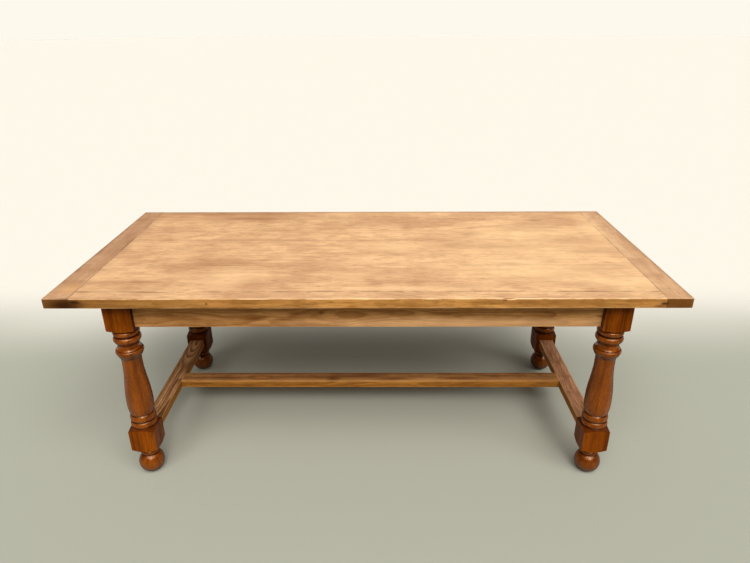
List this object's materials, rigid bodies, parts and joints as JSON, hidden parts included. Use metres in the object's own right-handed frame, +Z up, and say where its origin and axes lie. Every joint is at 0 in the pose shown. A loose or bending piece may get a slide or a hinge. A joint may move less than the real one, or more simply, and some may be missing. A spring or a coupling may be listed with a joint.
{
  "type": "refectory dining table",
  "caption": "Long wooden dining table: planked top with breadboard ends on turned legs with ball feet, aprons and flat stretchers in an H.",
  "frame": {"origin": "on the floor, below the middle of the top", "axes": "+X along the table, +Y from the front to the back, +Z up"},
  "size_m": [2.035, 0.9, 0.76],
  "materials": {
    "top_planks": "light golden oak, satin, streaked along the boards",
    "breadboard_wood": "slightly darker and pinker oak, satin, grain across the table",
    "apron_wood": "light tan oak, satin",
    "stretcher_wood": "golden brown oak with plain grain, satin",
    "varnished_legs": "reddish brown varnish, half gloss",
    "raw_wood": "plain unfinished wood",
    "screw_steel": "dull steel"
  },
  "bodies": {
    "root": {"leg_front_left": "varnished_legs", "leg_back_left": "varnished_legs", "leg_front_right": "varnished_legs", "leg_back_right": "varnished_legs", "apron_front": "apron_wood", "apron_back": "apron_wood", "apron_left": "apron_wood", "apron_right": "apron_wood", "stretcher_left": "stretcher_wood", "stretcher_right": "stretcher_wood", "stretcher_centre": "stretcher_wood", "top_front_strip": "top_planks", "top_board_front": "top_planks", "top_board_middle": "top_planks", "top_board_back": "top_planks", "top_board_rear": "top_planks", "breadboard_left": "breadboard_wood", "breadboard_right": "breadboard_wood", "cross_rail": "raw_wood", "top_buttons": "raw_wood", "button_screws": "screw_steel"}
  },
  "joints": []
}
